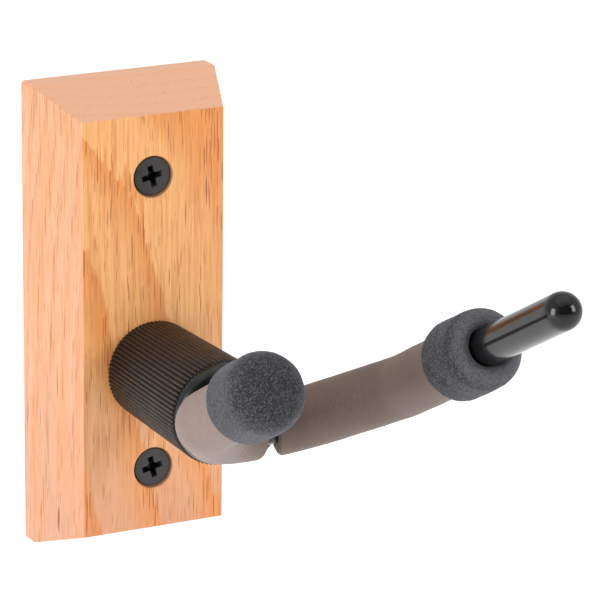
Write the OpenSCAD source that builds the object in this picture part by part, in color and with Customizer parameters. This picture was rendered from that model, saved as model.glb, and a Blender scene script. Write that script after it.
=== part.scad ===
// Wall guitar hanger: a bevelled oak block, a ribbed collar standing out of it, and a swivelling
// yoke of bent rod with rubber sleeves and foam ends that carries an instrument by its headstock.
// Millimetres, +Z up. The origin is the middle of the block's wall face, and -Y points out of the wall.

/* [Block] */
// Width of the oak block at the wall
block_w = 51.2; // [45:0.1:70]
// Height of the oak block at the wall
block_h = 120.6; // [110:0.1:150]
// Thickness of the block
block_t = 22.6; // [20:0.1:28]
// Depth of the square-edged strip next to the wall, before the bevels start
block_strip = 4.4; // [3:0.1:8]
// Distance that each bevel runs in from the outline
block_bevel = 6.3; // [3:0.1:8]
// Radius of the block's four outline corners
block_corner_r = 0.9; // [0.5:0.1:4]

/* [Wall screws] */
// Distance between the two wall screws
screw_spacing = 76.2; // [70:0.1:84]
// Diameter of a screw's flat head
screw_head_d = 9.8; // [8.5:0.1:10.2]
// Outer diameter of a screw's thread
screw_d = 4.8; // [4.4:0.1:5.4]
// Diameter of a screw's smooth shank, inside the block
shank_d = 4.2; // [3.6:0.1:4.4]
// Whole length of a screw, from its flat top to its point
screw_len = 50.8; // [40:0.1:64]
// Depth of a screw's flat top below the block's face
screw_sink = 0.7; // [0.3:0.1:1.5]
// Angle that each cross recess is turned by
screw_turn = 13; // [0:1:45]

/* [Collar] */
// Height of the collar's axis below the middle of the block
collar_drop = 11.8; // [8:0.1:16]
// Diameter of the ribbed collar where it meets the block
collar_base_d = 25.1; // [24:0.1:26]
// Diameter of the ribbed collar at its front end
collar_front_d = 26.7; // [25:0.1:28]
// Length of the ribbed collar
collar_len = 38.9; // [32:0.1:46]
// Diameter of the hole through the collar
collar_bore_d = 15; // [13:0.1:17]
// Diameter of the smooth nose in front of the ribs
nose_d = 25.8; // [24:0.1:26.6]
// Thickness of the smooth nose
nose_t = 3.4; // [3:0.1:6]
// Rounding of the nose's front edge
nose_edge_r = 2.8; // [1:0.1:3]

/* [Pivot] */
// Diameter of the pivot stem, a 5/16 inch bar
stem_d = 7.94; // [7.5:0.01:8.5]
// Radial running gap between the stem and its two bushings
running_gap = 0.05; // [0.02:0.01:0.1]
// Gap left between faces that slide past each other
face_gap = 0.1; // [0.05:0.01:0.2]
// Diameter of the stem's thrust shoulder
shoulder_d = 16; // [14:0.1:18]
// Thickness of the stem's thrust shoulder
shoulder_t = 3; // [2:0.1:4]
// Diameter of the counterbore behind the block
recess_d = 20.6; // [18.5:0.1:22]
// Depth of the counterbore behind the block
recess_depth = 13.5; // [12.5:0.1:14]

/* [Yoke] */
// Diameter of the coated yoke rod
rod_d = 9; // [8.3:0.1:9.4]
// Distance of the yoke's middle from the wall
yoke_reach = 80.8; // [78:0.1:90]
// Height of the yoke's middle above the stem's axis
yoke_lift = 1.9; // [0:0.1:2]
// Angle by which the arms rise away from the wall
yoke_rise = 28; // [20:0.5:35]
// Angle that the hanging yoke is turned by on its stem
yoke_turn = -1.7; // [-10:0.1:10]
// Distance between the centre lines of the two parallel arms
arm_spacing = 52; // [46:0.1:58]
// Bend radius of the rod at its centre line
bend_r = 17; // [13:0.1:18]
// First bend on each side of the middle; the second one turns the arms parallel
first_bend = 62; // [55:0.5:68]
// Distance of the right tip from the yoke's middle, along the rod
right_tip_at = 129.2; // [110:0.1:135]
// Distance of the left tip from the yoke's middle, along the rod
left_tip_at = 78; // [74:0.1:79]

/* [Sleeves] */
// Diameter of the rubber sleeves
sleeve_d = 15.1; // [13.5:0.1:16.5]
// Distance of the right sleeve's inner end from the yoke's middle, along the rod
right_sleeve_from = 4.1; // [1:0.1:6]
// Distance of the right sleeve's outer end from the yoke's middle
right_sleeve_to = 71; // [55:0.1:76]
// Distance of the left sleeve's inner end from the yoke's middle, along the rod
left_sleeve_from = 0.3; // [0.2:0.1:6]
// Distance of the left sleeve's outer end from the yoke's middle
left_sleeve_to = 64.4; // [55:0.1:68]

/* [Foam] */
// Diameter of the open foam collar on the right arm
foam_collar_d = 19.5; // [18:0.1:21]
// Diameter of the closed foam cap on the left arm
foam_cap_d = 19.6; // [18:0.1:21]
// Distance of the foam collar's outer end from the yoke's middle
foam_collar_to = 88.5; // [86:0.1:94]
// Distance of the foam cap's outer end from the yoke's middle
foam_cap_to = 82.8; // [81:0.1:90]
// Rounding of the foam pieces' outer edges
foam_edge_r = 4.6; // [3:0.1:5]

/* [Hidden] */

$fn = 64;
// Extra length that a cut runs past the faces it goes through
past = 1;
// Clearance between parts of one body that are pushed or screwed together
fit_gap = 0.02;

// Block
recess_floor = -recess_depth;
screw_clearance = 0.2;
screw_bore_d = screw_d + 2 * screw_clearance;
countersink_margin = 0.9;
countersink_d = screw_head_d + countersink_margin;
head_half_angle = 41;
head_cone_h = (screw_head_d - shank_d) / 2 / tan(head_half_angle);
screw_point_l = 9;
screw_point_d = 0.4;
// Cross recess in a screw's head: arm width, length across and depth
cross_w = 1.5;
cross_l = 5.8;
cross_h = 1.7;

// Collar and bushings
axis_z = -collar_drop;
collar_front = -block_t - collar_len;
nose_front = collar_front - nose_t;
nose_shank_l = 14;
rear_bushing_l = 16;
stem_bore_d = stem_d + 2 * running_gap;

// Washers, shoulder and nut, from the front to the back
thrust_washer_t = 1.2;
thrust_washer_front = nose_front - face_gap - thrust_washer_t;
shoulder_front = thrust_washer_front - fit_gap - shoulder_t;
rear_washer_t = 1.6;
rear_washer_d = 17.5;
rear_washer_back = recess_floor + face_gap + rear_washer_t;
spring_washer_t = 1.2;
spring_washer_h = 1.9;
spring_washer_d = 16.6;
spring_washer_back = rear_washer_back + fit_gap + spring_washer_h;
nut_front = spring_washer_back + fit_gap;
nut_across_flats = 12.7;
nut_hex_h = 5.4;
nut_h = 7.6;
nut_rim_d = 11.6;
nut_wall = 0.7;
stem_back = -1;

// Weld bead, a ring round the stem where it meets the rod
weld_r = 1.6;
weld_clearance = 0.6;
weld_notch_d = stem_d + 2 * (weld_r + weld_clearance);

// Rod: a bend, a straight and a second bend on each side, then the parallel arms
first_straight = (arm_spacing / 2 - bend_r) / cos(first_bend);
second_bend = 90 - first_bend;
arms_at = bend_r * PI / 2 + first_straight;
arms_forward = bend_r + first_straight * sin(first_bend);
saddle_gap = 0.3;
// Straights are a hair thinner than the bends and run a little way into them
joint_step = 0.02;
joint_overlap = 0.3;
rod_fit_d = rod_d + 2 * fit_gap;
sleeve_foam_gap = 0.3;

// Puts its children on a horizontal axis at height z that runs from y towards the wall
module along_wall_axis(y, z) {
    translate([0, y, z]) rotate([-90, 0, 0]) children();
}

// Cylinder on the stem's axis between two distances from the wall
module axis_cylinder(front, back, d) {
    along_wall_axis(front, axis_z) cylinder(d = d, h = back - front);
}

// Flat ring on the stem's axis between two distances from the wall
module axis_ring(front, back, d, bore) {
    difference() {
        axis_cylinder(front, back, d);
        axis_cylinder(front - past, back + past, bore);
    }
}

// Outline of the block's wall face, with four round corners
module block_outline() {
    square([block_w - 2 * block_corner_r, block_h], center = true);
    square([block_w, block_h - 2 * block_corner_r], center = true);
    for (side_x = [-1, 1], side_z = [-1, 1])
        translate([side_x * (block_w / 2 - block_corner_r), side_z * (block_h / 2 - block_corner_r)])
            circle(r = block_corner_r);
}

// Bevelled section of the block: square strip at the wall, then the slopes; x is across, y is depth
module bevel_section(across) {
    polygon([
        [-across / 2, 0],
        [-across / 2, -block_strip],
        [block_bevel - across / 2, -block_t],
        [across / 2 - block_bevel, -block_t],
        [across / 2, -block_strip],
        [across / 2, 0],
    ]);
}

// Hole for one wall screw, with its countersink
module screw_hole() {
    head_y = -block_t + screw_sink;
    sink_cone_h = (countersink_d - screw_bore_d) / 2 / tan(head_half_angle);
    along_wall_axis(-block_t - past, 0) cylinder(d = screw_bore_d, h = block_t + 2 * past);
    along_wall_axis(head_y, 0) cylinder(d1 = countersink_d, d2 = screw_bore_d, h = sink_cone_h);
    along_wall_axis(-block_t - past, 0) cylinder(d = countersink_d, h = screw_sink + past);
}

module backplate() {
    color([0.88, 0.66, 0.42]) difference() {
        intersection() {
            rotate([90, 0, 0]) linear_extrude(block_t) block_outline();
            translate([0, 0, -block_h / 2]) linear_extrude(block_h) bevel_section(block_w);
            rotate([0, 90, 0]) translate([0, 0, -block_w / 2]) linear_extrude(block_w) bevel_section(block_h);
        }
        for (side = [-1, 1]) translate([0, 0, side * screw_spacing / 2]) screw_hole();
        axis_cylinder(-block_t - past, past, collar_bore_d);
        axis_cylinder(recess_floor, past, recess_d);
    }
}

// One flat-head wood screw on the y axis, with its cross recess; the thread starts at the wall
module wall_screw() {
    head_y = -block_t + screw_sink;
    thread_l = screw_len + head_y - screw_point_l;
    color([0.12, 0.12, 0.12]) difference() {
        union() {
            along_wall_axis(head_y, 0) cylinder(d1 = screw_head_d, d2 = shank_d, h = head_cone_h);
            along_wall_axis(head_y, 0) cylinder(d = shank_d, h = -head_y + past);
            along_wall_axis(0, 0) cylinder(d = screw_d, h = thread_l);
            along_wall_axis(thread_l, 0) cylinder(d1 = screw_d, d2 = screw_point_d, h = screw_point_l);
        }
        for (quarter = [0, 90])
            translate([0, head_y, 0]) rotate([0, quarter - screw_turn, 0])
                cube([cross_l, 2 * cross_h, cross_w], center = true);
    }
}

module upper_wall_screw() {
    translate([0, 0, screw_spacing / 2]) wall_screw();
}

module lower_wall_screw() {
    translate([0, 0, -screw_spacing / 2]) wall_screw();
}

module collar() {
    color([0.16, 0.14, 0.13]) difference() {
        along_wall_axis(collar_front, axis_z)
            cylinder(d1 = collar_front_d, d2 = collar_base_d, h = collar_len);
        axis_cylinder(collar_front - past, -block_t + past, collar_bore_d);
    }
}

// Bearing in the front of the collar, with the rounded smooth head that shows as the collar's nose
module nose_bushing() {
    color([0.14, 0.18, 0.19]) along_wall_axis(nose_front, axis_z) rotate_extrude() difference() {
        union() {
            translate([0, nose_edge_r]) square([nose_d / 2, nose_t - nose_edge_r]);
            square([nose_d / 2 - nose_edge_r, nose_t]);
            translate([nose_d / 2 - nose_edge_r, nose_edge_r]) intersection() {
                circle(r = nose_edge_r);
                translate([0, -nose_edge_r]) square(nose_edge_r);
            }
            square([collar_bore_d / 2 - fit_gap, nose_t + nose_shank_l]);
        }
        translate([0, -past]) square([stem_bore_d / 2, nose_t + nose_shank_l + 2 * past]);
    }
}

// Bearing that runs through the block and centres the collar's rear end
module rear_bushing() {
    color([0.85, 0.84, 0.78])
        axis_ring(recess_floor - rear_bushing_l, recess_floor, collar_bore_d - 2 * fit_gap, stem_bore_d);
}

module thrust_washer() {
    color([0.1, 0.11, 0.11])
        axis_ring(thrust_washer_front, thrust_washer_front + thrust_washer_t, shoulder_d,
                  stem_d + 2 * fit_gap);
}

module rear_washer() {
    color([0.75, 0.75, 0.76])
        axis_ring(rear_washer_back - rear_washer_t, rear_washer_back, rear_washer_d, stem_d + 2 * fit_gap);
}

// Coned spring washer: its outer edge bears on the rear washer and its inner edge on the nut
module spring_washer() {
    rise = spring_washer_h - spring_washer_t;
    inner = stem_d / 2 + fit_gap;
    color([0.55, 0.55, 0.57]) along_wall_axis(rear_washer_back + fit_gap, axis_z) rotate_extrude()
        polygon([
            [inner, rise],
            [spring_washer_d / 2, 0],
            [spring_washer_d / 2, spring_washer_t],
            [inner, spring_washer_h],
        ]);
}

// Hexagon lock nut with a round rim that holds the nylon ring
module lock_nut() {
    color([0.72, 0.72, 0.74]) difference() {
        union() {
            along_wall_axis(nut_front, axis_z)
                cylinder(d = nut_across_flats / cos(30), h = nut_hex_h, $fn = 6);
            axis_cylinder(nut_front, nut_front + nut_h, nut_rim_d);
        }
        axis_cylinder(nut_front - past, nut_front + nut_h + past, stem_d + 2 * fit_gap);
        axis_cylinder(nut_front + nut_hex_h, nut_front + nut_h - nut_wall, nut_rim_d - 2 * nut_wall);
    }
}

module nut_insert() {
    color([0.2, 0.35, 0.7]) axis_ring(nut_front + nut_hex_h + fit_gap, nut_front + nut_h - nut_wall - fit_gap,
                                      nut_rim_d - 2 * nut_wall - 2 * fit_gap, stem_d + 2 * fit_gap);
}

// Cut that fits the stem and its weld to the back of the rod
module saddle_cut() {
    in_yoke_plane() rotate([0, 90, 0])
        cylinder(d = rod_d + 2 * saddle_gap, h = 3 * shoulder_d, center = true);
}

// Turned stem: bar, thrust shoulder and the end that is shaped to sit against the yoke rod
module pivot_stem() {
    color([0.3, 0.3, 0.32]) difference() {
        union() {
            axis_cylinder(-yoke_reach, stem_back, stem_d);
            axis_cylinder(shoulder_front, shoulder_front + shoulder_t, shoulder_d);
        }
        saddle_cut();
    }
}

// Weld bead round the stem, where it meets the back of the rod
module stem_weld() {
    color([0.1, 0.1, 0.1]) difference() {
        axis_ring(-yoke_reach, -yoke_reach + rod_d / 2 + weld_r, stem_d + 2 * weld_r, stem_d + 2 * fit_gap);
        saddle_cut();
    }
}

// Carries its children from the yoke's own plane to their place: x stays across, y becomes the
// direction in which the arms run, outwards and upwards
module in_yoke_plane() {
    translate([0, 0, axis_z]) rotate([0, yoke_turn, 0]) translate([0, -yoke_reach, yoke_lift])
        rotate([180 - yoke_rise, 0, 0]) children();
}

// Round bend about a vertical axis, between two headings measured from +x
module bend(d, from, to) {
    rotate([0, 0, from - 90]) rotate_extrude(angle = to - from) translate([bend_r, 0]) circle(d = d);
}

// Right arm beyond its first bend, up to a distance along the rod
module arm_run(d, to) {
    straight_d = d - 2 * joint_step;
    translate([bend_r * sin(first_bend), bend_r * (1 - cos(first_bend)), 0]) rotate([0, 90, first_bend])
        translate([0, 0, -joint_overlap]) cylinder(d = straight_d, h = first_straight + 2 * joint_overlap);
    translate([arm_spacing / 2 - bend_r, arms_forward, 0]) bend(d, first_bend, 90);
    on_arm(arms_at - joint_overlap) cylinder(d = straight_d, h = to - arms_at + joint_overlap);
}

// Puts its children, drawn along +z, on the right arm's straight part at a distance along the rod
module on_arm(distance) {
    translate([arm_spacing / 2, arms_forward + distance - arms_at, 0]) rotate([-90, 0, 0]) children();
}

// Leaves its right-hand children as they are for side 1, and mirrors them to the left arm for side -1
module on_side(side) {
    mirror([side < 0 ? 1 : 0, 0, 0]) children();
}

// Half-round end of the rod, with a short collar of itself for the straight to run into
module rod_tip() {
    rotate_extrude() {
        translate([0, -2 * joint_overlap]) square([rod_d / 2, 2 * joint_overlap]);
        intersection() {
            circle(d = rod_d);
            square(rod_d);
        }
    }
}

module yoke_rod() {
    color([0.05, 0.05, 0.05]) in_yoke_plane() {
        translate([0, bend_r, 0]) bend(rod_d, -first_bend, first_bend);
        for (end = [[1, right_tip_at], [-1, left_tip_at]]) on_side(end[0]) {
            arm_run(rod_d, end[1] - rod_d / 2 - joint_overlap);
            on_arm(end[1] - rod_d / 2) rod_tip();
        }
    }
}

// Rubber tube on one arm between two distances along the rod, cut away where the stem and its weld pass
module sleeve(side, from, to) {
    from_heading = from / bend_r * 180 / PI;
    color([0.52, 0.45, 0.4]) difference() {
        in_yoke_plane() on_side(side) difference() {
            union() {
                translate([0, bend_r, 0]) bend(sleeve_d, from_heading, first_bend);
                arm_run(sleeve_d, to);
            }
            translate([0, bend_r, 0]) bend(rod_fit_d, 0, first_bend);
            arm_run(rod_fit_d, to + past);
        }
        axis_cylinder(-yoke_reach, -yoke_reach + sleeve_d, weld_notch_d);
    }
}

module left_sleeve() {
    sleeve(-1, left_sleeve_from, left_sleeve_to);
}

module right_sleeve() {
    sleeve(1, right_sleeve_from, right_sleeve_to);
}

// Round foam body of length l along +z, with a rounded outer edge
module foam_body(d, l) {
    rotate_extrude() {
        square([d / 2, l - foam_edge_r]);
        square([d / 2 - foam_edge_r, l]);
        translate([d / 2 - foam_edge_r, l - foam_edge_r]) intersection() {
            circle(r = foam_edge_r);
            square(foam_edge_r);
        }
    }
}

// Closed cap over the left tip
module left_foam_cap() {
    from = left_sleeve_to + sleeve_foam_gap;
    color([0.27, 0.27, 0.29]) in_yoke_plane() on_side(-1) on_arm(from) difference() {
        foam_body(foam_cap_d, foam_cap_to - from);
        translate([0, 0, -past]) cylinder(d = rod_fit_d, h = left_tip_at - from + past + fit_gap);
    }
}

// Open barrel on the right arm, with the rod's tip standing out of it
module right_foam_collar() {
    from = right_sleeve_to + sleeve_foam_gap;
    color([0.27, 0.27, 0.29]) in_yoke_plane() on_arm(from) difference() {
        foam_body(foam_collar_d, foam_collar_to - from);
        translate([0, 0, -past]) cylinder(d = rod_fit_d, h = foam_collar_to - from + 2 * past);
    }
}

backplate();
upper_wall_screw();
lower_wall_screw();
collar();
nose_bushing();
rear_bushing();
thrust_washer();
rear_washer();
spring_washer();
lock_nut();
nut_insert();
pivot_stem();
stem_weld();
yoke_rod();
left_sleeve();
right_sleeve();
left_foam_cap();
right_foam_collar();
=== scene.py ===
"""Looks for a wall guitar hanger: a bevelled oak block, a ribbed collar and a swivelling rod yoke."""

import math

import bmesh
import bpy
from mathutils import Matrix, Vector, noise


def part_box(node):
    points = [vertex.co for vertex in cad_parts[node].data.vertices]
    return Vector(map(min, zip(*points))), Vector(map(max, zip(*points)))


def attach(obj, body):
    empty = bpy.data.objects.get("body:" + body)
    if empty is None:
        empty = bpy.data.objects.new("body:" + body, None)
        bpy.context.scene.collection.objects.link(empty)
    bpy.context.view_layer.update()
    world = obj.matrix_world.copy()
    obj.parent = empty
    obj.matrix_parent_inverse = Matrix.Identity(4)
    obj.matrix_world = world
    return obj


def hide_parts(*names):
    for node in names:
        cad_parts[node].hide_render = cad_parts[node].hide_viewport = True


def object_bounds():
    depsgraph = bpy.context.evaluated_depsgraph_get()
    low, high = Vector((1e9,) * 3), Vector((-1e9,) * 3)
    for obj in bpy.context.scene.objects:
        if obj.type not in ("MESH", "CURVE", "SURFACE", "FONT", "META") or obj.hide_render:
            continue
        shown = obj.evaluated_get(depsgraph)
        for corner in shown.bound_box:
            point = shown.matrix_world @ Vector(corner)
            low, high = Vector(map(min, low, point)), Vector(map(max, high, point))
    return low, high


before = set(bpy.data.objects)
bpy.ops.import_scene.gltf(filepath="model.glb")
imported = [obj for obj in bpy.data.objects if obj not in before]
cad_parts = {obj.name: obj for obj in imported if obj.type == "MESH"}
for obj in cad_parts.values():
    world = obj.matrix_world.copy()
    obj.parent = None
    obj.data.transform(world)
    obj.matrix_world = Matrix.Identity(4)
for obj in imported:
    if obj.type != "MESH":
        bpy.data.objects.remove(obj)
cad_low, cad_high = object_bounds()

MM = 0.001
UP = Vector((0, 0, 1))


# ---------------------------------------------------------------- places and sizes, in millimetres

def low(node):
    """Lowest corner of a CAD node, in millimetres."""
    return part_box(node)[0] / MM


def high(node):
    """Highest corner of a CAD node, in millimetres."""
    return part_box(node)[1] / MM


AXIS_Z = (low("collar").z + high("collar").z) / 2

# Block
BLOCK_STRIP = 4.4
BLOCK_BEVEL = 6.3
BLOCK_CORNER = 0.9
BLOCK_ARRIS = 0.2
FRONT_Y = low("backplate").y
STEM_BORE = 15.0
RECESS_D = 20.6
RECESS_FLOOR = high("rear_bushing").y

# Growth rings of the oak: where one crosses the front at mid height, and how the rings run from there
RING_START = 5.0
RING_WIDTH = 16.5
RING_LEAN = -0.27
RING_DEPTH = 4.2
RING_CURVE_FROM = 20.0
RING_CURVE = -0.011
RING_SPREAD = 0.2
# The ring to its right is one wide band that fades in over this distance, and stops short of its end
BAND_WIDTH = 30.0
BAND_END = 0.86
# How much the rings waver over the block, and how ragged each one's edge is
RING_SWAY = 0.30
RING_FEATHER = 0.34
# The wood turns pinker between these two heights
PINK_FROM = 10.0
PINK_TO = -60.0

# Fineness of the figures in the surfaces, in repeats per millimetre along X, Y and Z
SWAY_SCALE = (0.05, 0.05, 0.03)
FEATHER_SCALE = (0.9, 0.9, 0.045)
BEND_SCALE = (0.5, 0.5, 0.06)
PORE_SCALE = (2.3, 2.3, 0.09)
RAY_SCALE = (0.8, 0.16, 0.03)
FIBRE_SCALE = (2.0, 2.0, 0.05)
STREAK_SCALE = (0.55, 0.55, 0.022)
DRIFT_SCALE = (0.06, 0.06, 0.012)
PLATE_MARK_SCALE = (1.5, 14.0, 1.5)
STEM_MARK_SCALE = (0.3, 9.0, 0.3)

# Clearance between pieces that touch, and between the stem and the bearings that it turns in
FIT = 0.02
RUNNING_FIT = 0.05
# How far a cutter reaches past the face that it opens
PAST = 1.0

# Screws
HEAD_Y = low("upper_wall_screw").y
HEAD_D = high("upper_wall_screw").x - low("upper_wall_screw").x
HEAD_HALF_ANGLE = 41.0
SINK_D = HEAD_D + 0.9
SINK_RIM = 0.2
HOLE_SHADE_DEPTH = 8.0
HOLE_SHADE_FADE = 2.0
SCREW_BORE = 5.2
SHANK_D = 4.2
THREAD_D = 4.8
THREAD_ROOT = 3.3
SCREW_PITCH = 1.95
SCREW_POINT = 9.0
CROSS_TURN = 13.0
CROSS_DEPTH = 2.7
# Length and width of one wing of the cross, at the head's face and at the floor of the recess
CROSS_TOP = (5.9, 1.55)
CROSS_FLOOR = (2.4, 0.9)

# Collar and nose
RIBS = 72
RIB_DEPTH = 0.46
COLLAR_FRONT_R = high("collar").x
COLLAR_BASE_R = 12.55
TOOTH_LENGTH = 1.3
TOOTH_FLARE = 1.2
NOSE_R = high("nose_bushing").x
NOSE_EDGE = 2.8
NOSE_T = 3.4
GROOVE_R = 9.4
GROOVE_DEPTH = 0.25

# Pivot
STEM_D = 7.94
STEM_PITCH = 1.06
STEM_THREAD_DEPTH = 0.55
SHOULDER_R = 8.0
SHOULDER_T = 3.0
CONED_T = 1.2
NUT_ACROSS = 12.7
NUT_HEX_T = 5.4
NUT_RIM_R = 5.8
NUT_RIM_WALL = 0.7
WELD_R = 1.6
YOKE_REACH = 80.8

# Yoke
YOKE_LIFT = 1.9
YOKE_RISE = 28.0
YOKE_TURN = -1.7
ARM_SPACING = 52.0
BEND_R = 17.0
FIRST_BEND = 62.0
ROD_D = 9.0
LEFT_TIP = -78.0
RIGHT_TIP = 129.2
SLEEVE_D = 15.1
LEFT_SLEEVE_FROM = 0.3
LEFT_SLEEVE_TO = 64.4
RIGHT_SLEEVE_FROM = 4.1
RIGHT_SLEEVE_TO = 71.0
CREASES = (10.5, 14.5)
CREASE_WIDTH = 0.9
CREASE_DEPTH = 0.16
SLEEVE_LUMPS = 0.10
SLEEVE_FOAM_GAP = 0.3
FOAM_CAP_D = 19.6
FOAM_CAP_TO = 82.8
CAP_DOME = 7.5
FOAM_BARREL_D = 19.5
FOAM_BARREL_TO = 88.5
BARREL_SHOULDER = 5.2
BARREL_LIP = 1.8
BARREL_FUNNEL = 3.0
FOAM_BORE = ROD_D / 2 + FIT

# Floor, light and camera, in metres, watts and degrees
FLOOR_HALF = 6.0
FLOOR_DROP = 0.16
# Each softbox: its place, width, height and power
SOFTBOXES = {
    "left_softbox": ((-1.05, -0.26, 0.16), 0.45, 0.60, 8.0),
    "right_softbox": ((0.70, -0.95, 0.45), 0.40, 0.60, 6.5),
    "top_softbox": ((0.0, -0.3, 1.2), 1.5, 1.5, 4.0),
}
# The surroundings are darkest in this direction
DARK_TOWARDS = (-0.10, -0.90, 0.25)
CAMERA_AZIMUTH = 27.32
CAMERA_ELEVATION = 16.92
CAMERA_ROLL = 0.56
CAMERA_DISTANCE = 1.1
CAMERA_SIDE_STEP = 0.047
SENSOR_MM = 36.0
LENS_MM = 258.96


# ---------------------------------------------------------------- colours

def srgb(red, green, blue):
    """Linear colour from 0 to 255 display values."""
    def linear(value):
        v = value / 255
        return v / 12.92 if v <= 0.04045 else ((v + 0.055) / 1.055) ** 2.4
    return (linear(red), linear(green), linear(blue), 1.0)


# Oak
LATE_WOOD = srgb(240, 184, 122)
LATE_WOOD_WARM = srgb(233, 172, 106)
LATE_WOOD_PINK = srgb(206, 153, 120)
EARLY_WOOD = srgb(222, 138, 66)
SIDE_WOOD = srgb(184, 148, 128)
STREAK_WOOD = srgb(214, 140, 84)
FIBRE_WOOD = srgb(196, 118, 62)
END_WOOD = srgb(226, 170, 136)
PORE_BROWN = srgb(160, 86, 40)
RAY_BROWN = srgb(138, 74, 36)
# Brown painted shade on the walls of the screw holes
HOLE_PAINTED_SHADE = srgb(104, 58, 32)

# Metal, plastic and coating: the two tones that each one varies between
SCREW_TONES = srgb(38, 37, 39), srgb(62, 58, 58)
# Painted shade inside the screws' cross recesses
RECESS_PAINTED_SHADE = srgb(12, 11, 11)
STEM_TONES = srgb(34, 34, 36), srgb(58, 56, 56)
ZINC_TONES = srgb(176, 176, 178), srgb(206, 206, 206)
SPRING_TONES = srgb(120, 120, 124), srgb(150, 150, 154)
COLLAR_TONES = srgb(19, 13, 12), srgb(28, 20, 19)
NOSE_TONES = srgb(9, 13, 13), srgb(15, 20, 20)
NYLON_TONES = srgb(226, 222, 208), srgb(238, 236, 226)
INSERT_TONES = srgb(34, 76, 150), srgb(48, 98, 176)
COATING_TONES = srgb(12, 12, 13), srgb(19, 19, 21)

# Rubber, foam and floor
RUBBER_TONES = srgb(87, 71, 63), srgb(102, 86, 77)
# Paler rubber tone, painted on the left arm as light
RUBBER_PAINTED_LIGHT = srgb(129, 111, 104)
RUBBER_BLOOM = srgb(121, 104, 96)
FOAM_TONES = srgb(46, 46, 48), srgb(58, 58, 61)
# Painted shade on the foam
FOAM_PAINTED_SHADE = srgb(14, 13, 15)
# Painted light on the foam
FOAM_PAINTED_LIGHT = srgb(88, 86, 90)
FOAM_LIGHT_CELL = srgb(98, 98, 102)
FOAM_DARK_CELL = srgb(24, 24, 26)
FOAM_LIGHT_SPECK = srgb(104, 104, 108)
FOAM_DARK_SPECK = srgb(22, 22, 24)
FOAM_SHEEN = srgb(215, 212, 225)
FLOOR_TONES = srgb(247, 247, 247), srgb(250, 250, 250)


# ---------------------------------------------------------------- paths that pieces are swept along

def wall_axis(height):
    """Path that runs towards the wall at a height; its distance is measured from the wall face."""
    turn = Matrix.Rotation(math.radians(-90), 4, "X")
    return lambda distance: Matrix.Translation((0, distance, height)) @ turn


STEM_PATH = wall_axis(AXIS_Z)
YOKE_PLANE = (
    Matrix.Translation((0, 0, AXIS_Z))
    @ Matrix.Rotation(math.radians(YOKE_TURN), 4, "Y")
    @ Matrix.Translation((0, -YOKE_REACH, YOKE_LIFT))
    @ Matrix.Rotation(math.radians(180 - YOKE_RISE), 4, "X")
)
BEND_1 = math.radians(FIRST_BEND)
FIRST_ARC = BEND_R * BEND_1
FIRST_STRAIGHT = (ARM_SPACING / 2 - BEND_R) / math.cos(BEND_1)
SECOND_ARC = BEND_R * (math.pi / 2 - BEND_1)


def half_rod(distance):
    """(x, y, heading) in the yoke's plane at a distance along the rod's right half."""
    if distance <= FIRST_ARC:
        heading = distance / BEND_R
        return BEND_R * math.sin(heading), BEND_R * (1 - math.cos(heading)), heading
    x = BEND_R * math.sin(BEND_1)
    y = BEND_R * (1 - math.cos(BEND_1))
    on_straight = min(distance - FIRST_ARC, FIRST_STRAIGHT)
    x += on_straight * math.cos(BEND_1)
    y += on_straight * math.sin(BEND_1)
    rest = distance - FIRST_ARC - FIRST_STRAIGHT
    if rest <= 0:
        return x, y, BEND_1
    heading = BEND_1 + min(rest, SECOND_ARC) / BEND_R
    x += BEND_R * (math.sin(heading) - math.sin(BEND_1))
    y += BEND_R * (math.cos(BEND_1) - math.cos(heading))
    return x, y + max(0, rest - SECOND_ARC), heading


def rod_path(distance):
    """Place and direction on the yoke rod, from its left tip (negative) to its right tip."""
    x, y, heading = half_rod(abs(distance))
    if distance < 0:
        x, heading = -x, -heading
    along = Vector((math.cos(heading), math.sin(heading), 0))
    across = Vector((-math.sin(heading), math.cos(heading), 0))
    turn = Matrix((across, UP, along)).transposed().to_4x4()
    return YOKE_PLANE @ Matrix.Translation((x, y, 0)) @ turn


# ---------------------------------------------------------------- profiles: lists of (distance, radius)

def rounded(corners, steps=6):
    """Outline through (distance, radius, fillet) corners, with each fillet as an arc."""
    points = []
    for i, (s, r, fillet) in enumerate(corners):
        here = Vector((s, r))
        if fillet == 0 or i in (0, len(corners) - 1):
            points.append((s, r))
            continue
        back = (Vector(corners[i - 1][:2]) - here).normalized()
        ahead = (Vector(corners[i + 1][:2]) - here).normalized()
        half = back.angle(ahead) / 2
        centre = here + (back + ahead).normalized() * fillet / math.sin(half)
        start = here + back * fillet / math.tan(half) - centre
        end = here + ahead * fillet / math.tan(half) - centre
        turn = start.angle_signed(end)
        for k in range(steps + 1):
            angle = -turn * k / steps
            c, d = math.cos(angle), math.sin(angle)
            points.append((centre.x + start.x * c - start.y * d, centre.y + start.x * d + start.y * c))
    return points


def spread(profile, step):
    """The profile with points added, so that neighbours are at most step apart."""
    points = [profile[0]]
    for (s0, r0), (s1, r1) in zip(profile, profile[1:]):
        parts = max(1, math.ceil(math.hypot(s1 - s0, r1 - r0) / step))
        points += [(s0 + (s1 - s0) * k / parts, r0 + (r1 - r0) * k / parts) for k in range(1, parts + 1)]
    return points


def quarter(centre, first, second, steps=12):
    """Quarter of an ellipse about a centre, from its first half-axis to its second."""
    points = []
    for k in range(steps + 1):
        angle = math.pi / 2 * k / steps
        c, d = math.cos(angle), math.sin(angle)
        points.append((centre[0] + first[0] * c + second[0] * d, centre[1] + first[1] * c + second[1] * d))
    return points


def domed(radius, start, end, power=2.9, steps=16):
    """Soft dome, from full radius at start to its top at end."""
    points = []
    for k in range(steps + 1):
        angle = math.pi / 2 * k / steps
        points.append((start + (end - start) * math.sin(angle), radius * math.cos(angle) ** (2 / power)))
    return points[:-1] + [(end, 0)]


# ---------------------------------------------------------------- mesh building

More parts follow.
